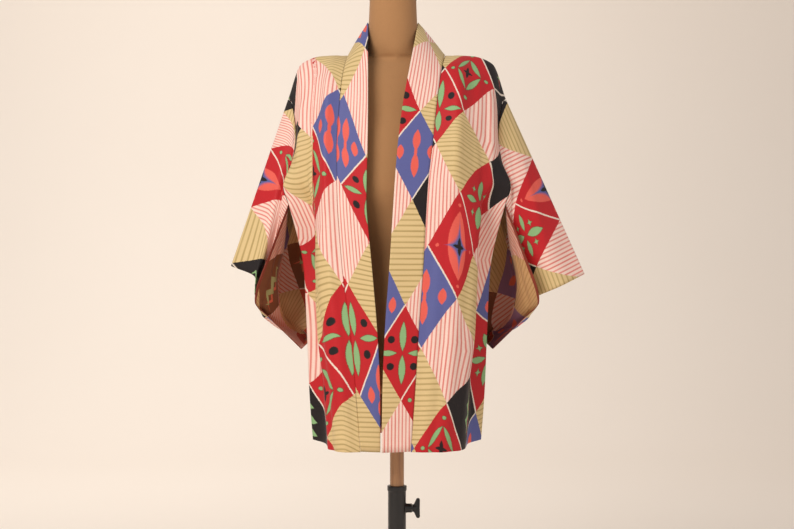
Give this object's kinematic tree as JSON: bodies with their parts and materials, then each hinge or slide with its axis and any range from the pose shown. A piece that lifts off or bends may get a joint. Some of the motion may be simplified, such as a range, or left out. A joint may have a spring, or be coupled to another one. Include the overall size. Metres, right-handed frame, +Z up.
{
  "type": "kimono jacket on dress form",
  "caption": "Open-fronted haori kimono jacket with wide bag sleeves, hung on a limbless dress form with a height-adjustable pole stand.",
  "frame": {"origin": "centre of the round base's underside, on the floor", "axes": "+Z up along the stand's pole, -Y out of the wearer's front, +X to the wearer's left"},
  "size_m": [0.7061, 0.32, 1.4943],
  "materials": {
    "printed_silk": "slubbed silk with a printed lozenge patchwork",
    "form_linen": "stretched brown linen",
    "dark_lacquer": "dark satin lacquer",
    "turned_wood": "satin varnish",
    "black_steel": "semi-gloss black enamel",
    "knob_plastic": "moulded satin"
  },
  "bodies": {
    "stand": {"stand_base": "black_steel", "stand_tube": "black_steel"},
    "clamp": {"clamp_knob": "knob_plastic"},
    "mast": {"pole": "turned_wood"},
    "form": {"dress_form": "form_linen", "neck_cap": "dark_lacquer", "body_length_left": "printed_silk", "body_length_right": "printed_silk", "side_gusset_left": "printed_silk", "side_gusset_right": "printed_silk", "sleeve_left": "printed_silk", "sleeve_right": "printed_silk", "collar_band": "printed_silk"}
  },
  "joints": [
    {"name": "pole_height", "type": "slide", "parent": "stand", "child": "mast", "axis": [0, 0, 1], "range_m": [-0.15, 0.2]},
    {"name": "form_swivel", "type": "hinge", "parent": "mast", "child": "form", "pos_m": [0, 0, 0.7], "axis": [0, 0, 1], "continuous": true},
    {"name": "clamp_turn", "type": "hinge", "parent": "stand", "child": "clamp", "pos_m": [0.03, 0, 0.463], "axis": [1, 0, 0], "continuous": true}
  ]
}
